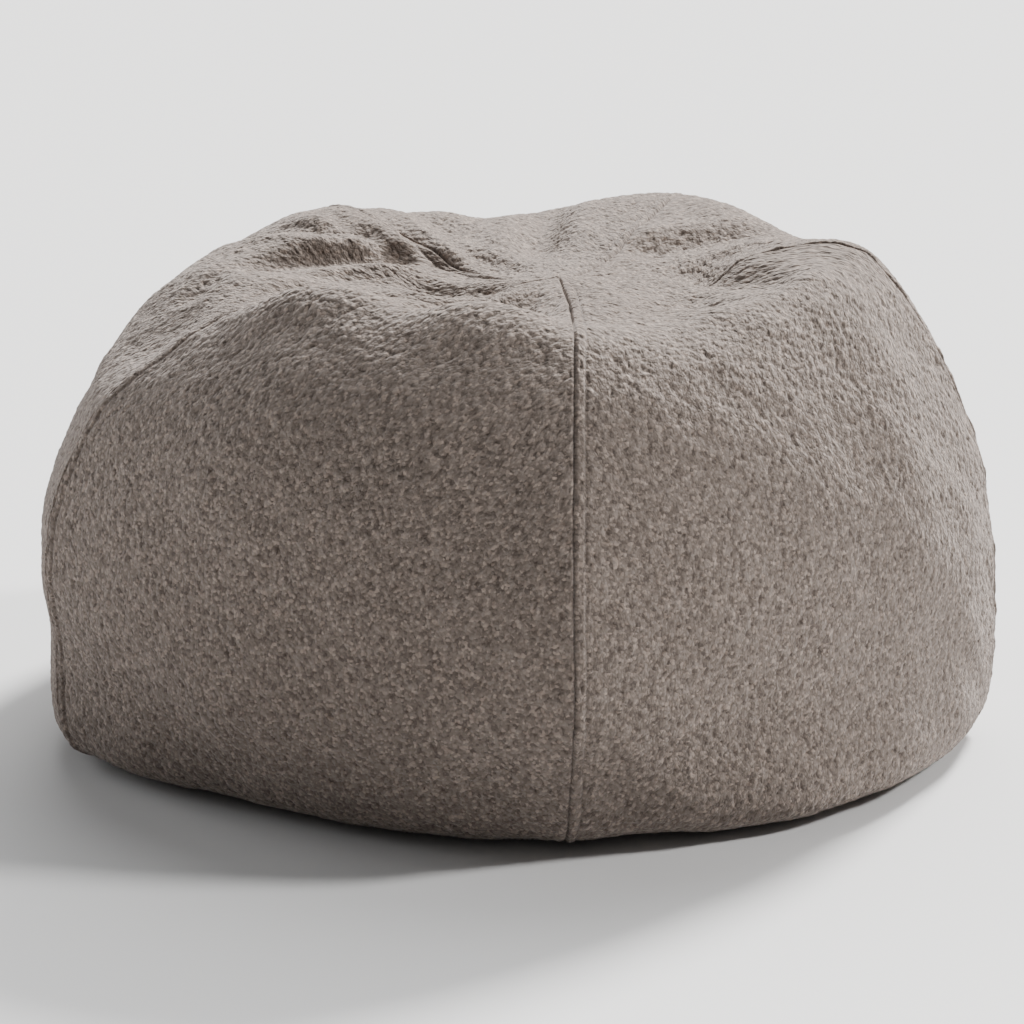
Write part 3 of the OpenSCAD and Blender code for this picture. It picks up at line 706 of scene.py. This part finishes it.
# Four-sided faces between closed rings of corners
def ringQuads(rings, around):
    ids = np.arange(rings * around).reshape(rings, around)
    turn = np.roll(ids, -1, axis=1)
    return ids, np.stack([ids[:-1], ids[1:], turn[1:], turn[:-1]], -1).reshape(-1, 4)


# A tube carried along a path of many points, with its ring held upright by a side direction
def tubeAlong(path, side, radius, sides):
    along = unitVectors(np.gradient(path, axis=0))
    up = unitVectors(np.cross(along, side))
    across = np.cross(up, along)
    angle = np.arange(sides) * 2 * math.pi / sides
    cosine, sine = np.cos(angle)[:, None], np.sin(angle)[:, None]
    rings = path[:, None] + radius * (cosine * across[:, None] + sine * up[:, None])
    ids, quads = ringQuads(len(path), sides)
    ends = [[ids[0, 0], ids[0, k], ids[0, k + 1]] for k in range(1, sides - 1)]
    ends += [[ids[-1, 0], ids[-1, k + 1], ids[-1, k]] for k in range(1, sides - 1)]
    return rings.reshape(-1, 3), quads, np.array(ends)


# The base of the cover
baseSpec = {
    "stations": 300,
    "across": 60,
    "cloth": 0.003,
    "ripple": 0.0007,
    "rippleMost": 0.0012,
    "ripples": 0.05,  # wavelength
    "channelHalfLength": 0.3453,
    "channelHalfWidth": 0.008,
    "turnedUp": 0.009,
    "fanFrom": 0.01,  # past the channel's end
    "margin": 1e-4,
}
ringAngles = np.linspace(0, 360, 3601)
baseRing = skinPoint(ringAngles, 0 * ringAngles)[:, :2]


# Where each cut of a half base meets the outline: straight across the zip, fanning out past its ends
def outlineEnds(x, side):
    spec = baseSpec
    ring = baseRing[:-1][baseRing[:-1, 1] * side > spec["channelHalfWidth"] + spec["cloth"]]
    ring = ring[np.argsort(np.arctan2(ring[:, 0], side * ring[:, 1]))]
    walked = walkedLength(ring)
    straight = spec["channelHalfLength"] + spec["fanFrom"]
    first = np.nonzero(ring[:, 0] < -straight)[0].max()
    last = np.nonzero(ring[:, 0] > straight)[0].min()
    across = np.interp(x, ring[first:last + 1, 0], walked[first:last + 1])
    fan = np.clip((np.abs(x) - straight) / (np.where(x < 0, -x[0], x[-1]) - straight), 0, 1)
    goal = np.where(x < 0, 0, walked[-1])
    along = across + (goal - across) * fan
    return np.interp(along, walked, ring[:, 0]), np.interp(along, walked, ring[:, 1])


# Half a base: its section at each x runs in from the outline to the zip, up the channel's wall and back
def baseHalf(side):
    spec = baseSpec
    length, gap, wall = spec["channelHalfLength"], spec["channelHalfWidth"], spec["cloth"]
    crossing = baseRing[:, 0][np.abs(baseRing[:, 1]) < 0.004]
    step = spec["margin"]
    marks = [s * (length + d) for s in (-1, 1) for d in (-step, step, wall - step, wall + step)]
    even = np.linspace(crossing.min() + step, crossing.max() - step, spec["stations"])
    x = np.sort(np.concatenate([even, marks]))
    inChannel, inWall = np.abs(x) < length, (np.abs(x) >= length) & (np.abs(x) < length + wall)
    farX, far = outlineEnds(x, side)
    near = np.where(inChannel, side * gap, 0.0)
    top = np.where(inChannel | inWall, spec["turnedUp"], wall)
    facing = np.full(x.shape, side * (gap + wall))
    t = np.linspace(0, 1, spec["across"])
    under = far[:, None] * (1 - t) + near[:, None] * t
    over = facing[:, None] * (1 - t) + far[:, None] * t
    y = np.concatenate([under, near[:, None], facing[:, None], over], 1)
    z = np.concatenate([0 * under, top[:, None], top[:, None], 0 * over + wall], 1)
    underX = farX[:, None] * (1 - t) + x[:, None] * t
    overX = farX[:, None] * t + x[:, None] * (1 - t)
    xs = np.concatenate([underX, x[:, None], x[:, None], overX], 1)
    flatPlace = np.stack([xs, y, 0 * y], -1)
    away = np.minimum(np.abs(y - far[:, None]), np.abs(np.abs(y) - gap))
    noise = softNoise(flatPlace, spec["ripples"], 71 + side)
    ripple = spec["ripple"] * (1 + noise) * smooth(away, 0.002, 0.03)
    lift = np.zeros(y.shape)
    lift[:, :spec["across"]] = ripple[:, :spec["across"]].clip(0, spec["rippleMost"])
    place = np.stack([xs, y, z + lift], -1)
    return place if side > 0 else place[:, ::-1]


baseCloth = wovenMaterial("darkBaseCloth", (0.085, 0.072, 0.064), (0.045, 0.038, 0.034), 0.0011)
for side, place in ((-1, "front"), (1, "back")):
    half = sectionLoft("base_" + place, baseHalf(side))
    fitOut(half, baseCloth, "cover_base_" + place)
print("base made")

# The stitch round the base
baseStitch = dict(stitchSpec, lift=0.0007, level=0.036)
row = int(round(baseStitch["level"] * goreSpec["rows"]))
ringPath, ringFacing = [], []
for made in gores:
    ringPath.append(made["outer"][row, :-1])
    ringFacing.append(made["facing"][row, :-1])
closeRow = [np.concatenate(v + [v[0][:1]]) for v in (ringPath, ringFacing)]
baseStitches = makePiece("base_stitching", *stitchRow(*closeRow, baseStitch))
fitOut(baseStitches, threadColour, "base_seam_stitch")
print("base stitch made")

# The care label
labelSpec = {
    "gore": 1,
    "level": (2 / 14, 3 / 14),
    "width": 0.030,
    "length": 0.045,
    "cloth": 0.0004,
    "off": 0.0016,  # at the seam
    "bend": 0.0014,  # over the seam's welt
    "curl": 0.004,
    "wave": 0.0006,
    "steps": (24, 20),  # along the seam, and out from it
}


# The label leaves the seam, lies beside it, and its free edge curls a little away from the cloth
def careLabel():
    spec = labelSpec
    made = gores[spec["gore"]]
    low, high = [int(v * goreSpec["rows"]) for v in spec["level"]]
    path = made["outer"][low:high, -1]
    walked = walkedLength(path)
    v = np.linspace(0, spec["length"], spec["steps"][0]) + (walked[-1] - spec["length"]) / 2
    foot = alongPath(v, walked, path)
    middle = (low + high) // 2
    up = unitVectors(foot[-1] - foot[0])
    away = unitVectors(made["base"][middle, -14] - made["base"][middle, -1])
    away = unitVectors(away - up * (away @ up))
    out = unitVectors(np.cross(away, up))
    out = out * np.sign(out @ made["facing"][middle, -12])
    u = np.linspace(0, 1, spec["steps"][1])
    lift = spec["off"] + spec["bend"] * smooth(u, 0, 0.25) + spec["curl"] * u ** 3
    wave = spec["wave"] * np.sin(6 * u[None] + 60 * (v[:, None] - v[0]))
    stand = out * (lift[None] + wave * u[None])[..., None]
    place = foot[:, None] + away * (u * spec["width"])[None, :, None] + stand
    return place, place - out * spec["cloth"]


labelCloth = wovenMaterial("labelSatin", (0.74, 0.72, 0.68), (0.60, 0.58, 0.54), 0.0005)
label = layeredShell("care_label_sewn_in", *careLabel())
fitOut(label, labelCloth, "care_label")
print("care label made")

# The zips
zipSpec = {
    "pitch": 0.00125,
    "wire": 0.00034,  # radius
    "turnPoints": 10,
    "sides": 5,
    "tapeRound": 0.00025,
    "tapeStations": 240,
}


# One row of a coil zip: a wire wound as a flat helix that fills its row's box
def coilRow(node):
    spec = zipSpec
    low, high = [np.array(v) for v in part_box(node)]
    wire = spec["wire"]
    turns = int((high[0] - low[0] - 2 * wire) / spec["pitch"])
    t = np.linspace(0, turns, turns * spec["turnPoints"] + 1)
    middle, half = (low + high) / 2, (high - low) / 2 - wire
    path = np.stack([low[0] + wire + t * spec["pitch"], middle[1] + half[1] * np.cos(2 * math.pi * t),
                     middle[2] + half[2] * np.sin(2 * math.pi * t)], -1)
    return tubeAlong(path, np.array([1.0, 0, 0]), wire, spec["sides"])


# A woven tape: a thin strip with bevelled edges
def tapeSections(node):
    low, high = [np.array(v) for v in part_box(node)]
    soft, stations = zipSpec["tapeRound"], zipSpec["tapeStations"]
    y0, y1, z0, z1 = low[1], high[1], low[2], high[2]
    ring = np.array([(y0, z0 + soft), (y0 + soft, z0), (y1 - soft, z0), (y1, z0 + soft),
                     (y1, z1 - soft), (y1 - soft, z1), (y0 + soft, z1), (y0, z1 - soft)])
    x = np.linspace(low[0], high[0], stations)
    return np.stack([np.broadcast_to(v, (stations, 8)) for v in (x[:, None], ring[:, 0], ring[:, 1])], -1)


tapeWeave = wovenMaterial("zipTapeWeave", (0.075, 0.064, 0.058), (0.040, 0.034, 0.031), 0.0007)
coilPlastic = plainMaterial("coilNylon", (0.045, 0.037, 0.033), Roughness=0.42)
linerTapeWeave = wovenMaterial("linerTapeWeave", (0.78, 0.77, 0.74), (0.62, 0.61, 0.58), 0.0007)
linerCoilPlastic = plainMaterial("linerCoilNylon", (0.72, 0.71, 0.68), Roughness=0.42)
# prefix of the names, then the material and the record slot of the tapes and of the coils
zipFinishes = [("zip", (tapeWeave, "zip_tape"), (coilPlastic, "zip_coil")),
               ("liner_zip", (linerTapeWeave, "liner_zip"), (linerCoilPlastic, "liner_zip"))]
for prefix, tapeFinish, coilFinish in zipFinishes:
    for place in ("front", "back"):
        tapeNode, coilNode = prefix + "_tape_" + place, prefix + "_coil_" + place
        strip = sectionLoft(prefix + "_woven_tape_" + place, tapeSections(tapeNode))
        wound = makePiece(prefix + "_wound_coil_" + place, *coilRow(coilNode))
        fitOut(strip, tapeFinish[0], tapeNode)
        fitOut(wound, coilFinish[0], coilNode)
print("zips made")

# The liner and the beads
linerSpec = {
    "columns": 48,
    "rows": 96,
    "outer": 0.0054,  # depth under the cover's surface
    "cloth": 0.0008,
    "foot": 0.0033,  # height of its lower edge
}
fillSpec = {
    "columns": 240,
    "rows": 110,
    "under": 50,  # rings of its floor
    "lowest": 0.012,  # level where the floor begins
    "inset": 0.0070,
    "floor": 0.0050,
    # what the floor lifts over: middle, half size, height
    "zips": [((0, 0), (0.357, 0.0165), 0.0165), ((0, 0.17), (0.169, 0.0125), 0.0085)],
    "slope": 0.012,
}


# The draped skin, set in by a distance that is the same everywhere
def insetSkin(azimuth, level, depth):
    return drapedSkin(azimuth, level) - skinFacing(azimuth, level) * depth


linerCloth = wovenMaterial("linerCloth", (0.80, 0.79, 0.77), (0.66, 0.65, 0.63), 0.0009)


# One gore of the liner: two layers of the skin set in, with their lower edges a little off the ground
def linerGore(index):
    spec = linerSpec
    share, level = np.meshgrid(np.linspace(0, 1, spec["columns"] + 1), np.linspace(0, 1, spec["rows"] + 1))
    side = 360 / bagShape["gores"]
    azimuth = leanedAzimuth(bagShape["firstSeam"] + side * (index + share), level)
    layers = []
    for more in (0, spec["cloth"]):
        grid = insetSkin(azimuth, level, spec["outer"] + more)
        grid[0] = skinPoint(azimuth[0], level[0]) + [0, 0, spec["foot"] + more]
        grid[..., 2] = np.maximum(grid[..., 2], spec["foot"] + more)
        layers.append(grid)
    return layers


for index, place in enumerate(goreSpec["names"]):
    shell = layeredShell("liner_" + place, *linerGore(index), poled=True)
    fitOut(shell, linerCloth, "liner_gore_" + place)


# The beads as one lump: the skin set in, closed below by a floor that lifts over both zips
def beadLump():
    spec = fillSpec
    floor = spec["floor"]
    around = np.linspace(0, 360, spec["columns"], endpoint=False)
    azimuth, level = np.meshgrid(around, np.linspace(1, spec["lowest"], spec["rows"]))
    over = insetSkin(azimuth, level, spec["inset"])
    over[..., 2] = np.maximum(over[..., 2], floor + 0.001)
    t = np.linspace(1, 0, spec["under"])[1:, None, None]
    flat = over[-1][None, :, :2] * t
    under = np.concatenate([flat, np.full(flat.shape[:2] + (1,), floor)], -1)
    for (cx, cy), (halfX, halfY), height in spec["zips"]:
        outside = np.maximum(np.abs(under[..., 0] - cx) - halfX, np.abs(under[..., 1] - cy) - halfY)
        lifted = floor + (height - floor) * (1 - smooth(outside, 0, spec["slope"]))
        under[..., 2] = np.maximum(under[..., 2], lifted)
    grid = np.concatenate([over, under])
    quads = ringQuads(*grid.shape[:2])[1]
    return tidied(makePiece("bead_lump", grid.reshape(-1, 3), quads, []), 1e-5)


# White foam beads: one cell for each, domed by bump, with painted shade in the gaps between them
def beadMaterial(name, size):
    material, nodes, links, shader = newMaterial(name, Roughness=0.7)
    place = addNode(nodes, "ShaderNodeTexCoord").outputs["Object"]
    cells = addNode(nodes, "ShaderNodeTexVoronoi", Scale=1 / size)
    links.new(place, cells.inputs["Vector"])
    colour = addRamp(nodes, links, cells.outputs["Distance"],
                     [(0.0, (0.86, 0.86, 0.85)), (0.55, (0.80, 0.80, 0.79)), (0.9, (0.42, 0.42, 0.42))])
    links.new(colour, shader.inputs["Base Color"])
    bump = addNode(nodes, "ShaderNodeBump", {"invert": True}, Strength=0.9, Distance=0.002)
    links.new(cells.outputs["Distance"], bump.inputs["Height"])
    links.new(bump.outputs["Normal"], shader.inputs["Normal"])
    return material


beads = beadLump()
fitOut(beads, beadMaterial("whiteBeads", 1 / 210), "bead_fill")
print("liner and beads made")

# Finishes of the pieces that keep their own meshes
# Brushed metal: fine lines along X, as a slight change of colour
def metalMaterial(name, dark, pale):
    material, nodes, links, shader = newMaterial(name, Metallic=1.0, Roughness=0.34)
    place = addNode(nodes, "ShaderNodeTexCoord").outputs["Object"]
    grain = addNode(nodes, "ShaderNodeMapping", Scale=(300, 4000, 4000))
    links.new(place, grain.inputs["Vector"])
    lines = addNode(nodes, "ShaderNodeTexNoise", Scale=1.0, Detail=3.0)
    links.new(grain.outputs["Vector"], lines.inputs["Vector"])
    colour = addRamp(nodes, links, lines.outputs["Fac"], [(0.3, dark), (0.7, pale)])
    links.new(colour, shader.inputs["Base Color"])
    return material


zipMetal = metalMaterial("brushedNickel", (0.34, 0.33, 0.31), (0.52, 0.50, 0.47))
finishes = {
    "zip_slider": zipMetal, "zip_pull": zipMetal, "zip_top_stops": zipMetal, "zip_bottom_stop": zipMetal,
    "liner_zip_slider": zipMetal, "liner_zip_stops": zipMetal,
    "liner_base": linerCloth, "liner_label": labelCloth,
}
for node, paint in finishes.items():
    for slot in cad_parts[node].material_slots:
        slot.material = paint
print("finishes set")

# Camera, floor and lights
viewSpec = {
    "elevation": 15,
    "distance": 3.736,
    "lens": 118,
    "sensor": 36,
    "aim": (-0.009, 0.013, 0.275),
    "shiftY": -0.044,
}
camera = bpy.data.objects.new("camera", bpy.data.cameras.new("camera"))
tilt = math.radians(viewSpec["elevation"])
aim = np.array(viewSpec["aim"])
camera.location = aim + viewSpec["distance"] * np.array([0, -math.cos(tilt), math.sin(tilt)])
camera.rotation_euler = (math.pi / 2 - tilt, 0, 0)
camera.data.lens = viewSpec["lens"]
camera.data.sensor_width = viewSpec["sensor"]
camera.data.shift_y = viewSpec["shiftY"]
bpy.context.scene.collection.objects.link(camera)
bpy.context.scene.camera = camera

floorSpec = {"half": 30, "colour": (0.72, 0.72, 0.72)}
half = floorSpec["half"]
floorCorners = [(-half, -half, 0), (half, -half, 0), (half, half, 0), (-half, half, 0)]
floor = makePiece("floor", floorCorners, [[0, 1, 2, 3]], [])
floor.data.materials.append(plainMaterial("paleFloor", floorSpec["colour"], Roughness=0.8))

# name: the direction it comes from, strength, angular size in degrees, colour
lamps = {
    "key": ((0.40, 0.68, 0.61), 9.5, 12, (1.0, 0.985, 0.965)),
    "overhead": ((0.08, 0.62, 0.78), 2.0, 45, (1.0, 1.0, 1.0)),
    "leftSoft": ((-0.82, 0.42, 0.40), 1.2, 40, (0.97, 0.985, 1.0)),
    "frontRight": ((0.80, 0.04, 0.60), 3.1, 8, (1.0, 0.99, 0.98)),
}
for name, (toward, strength, angle, colour) in lamps.items():
    lamp = bpy.data.lights.new(name, "SUN")
    lamp.energy, lamp.angle, lamp.color = strength, math.radians(angle), colour
    holder = bpy.data.objects.new(name, lamp)
    x, y, z = toward
    holder.location = [4 * v for v in toward]  # where a sun stands makes no difference
    holder.rotation_euler = (math.atan2(math.hypot(x, y), z), 0, math.atan2(y, x) + math.pi / 2)
    bpy.context.scene.collection.objects.link(holder)
world = bpy.data.worlds.new("studio")
world.use_nodes = True
sky = world.node_tree.nodes["Background"]
sky.inputs["Color"].default_value = (1, 1, 1, 1)
sky.inputs["Strength"].default_value = 0.12
bpy.context.scene.world = world
print("camera, floor and lights set")
